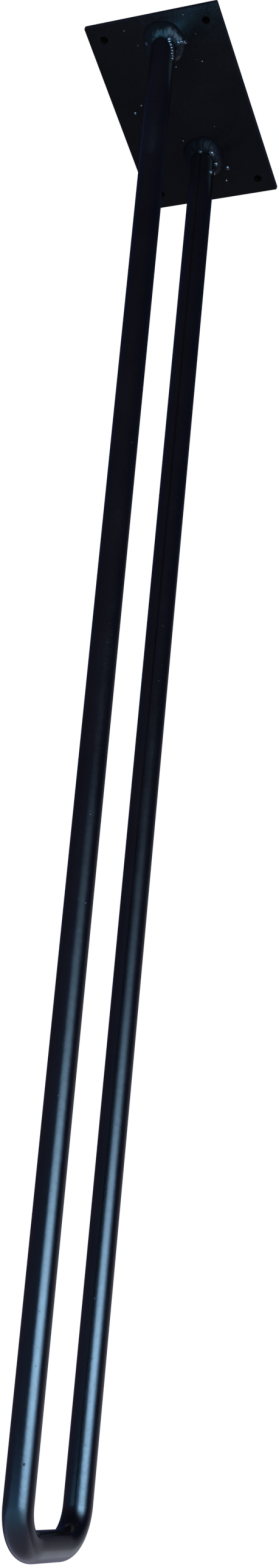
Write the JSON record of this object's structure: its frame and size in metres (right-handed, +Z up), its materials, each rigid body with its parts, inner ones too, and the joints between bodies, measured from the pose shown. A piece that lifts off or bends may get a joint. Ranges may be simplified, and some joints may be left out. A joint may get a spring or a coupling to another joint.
{
  "type": "slanted table leg",
  "caption": "Welded hairpin table leg: a slanted bar bent into a long U under a flat rectangular screw plate.",
  "frame": {"origin": "centre of the plate's top face, which lies against the underside of the table", "axes": "+Z up, out of the plate into the table; +X along the plate's long side, the way the leg leans as it goes down; +Y across the plate"},
  "size_m": [0.3685, 0.078, 0.7198],
  "materials": {
    "black_paint": "semi-gloss black paint over steel",
    "painted_weld": "semi-gloss black paint over a rippled weld bead"
  },
  "bodies": {
    "root": {"mounting_plate": "black_paint", "bent_bar": "black_paint", "near_weld": "painted_weld", "far_weld": "painted_weld"}
  },
  "joints": []
}
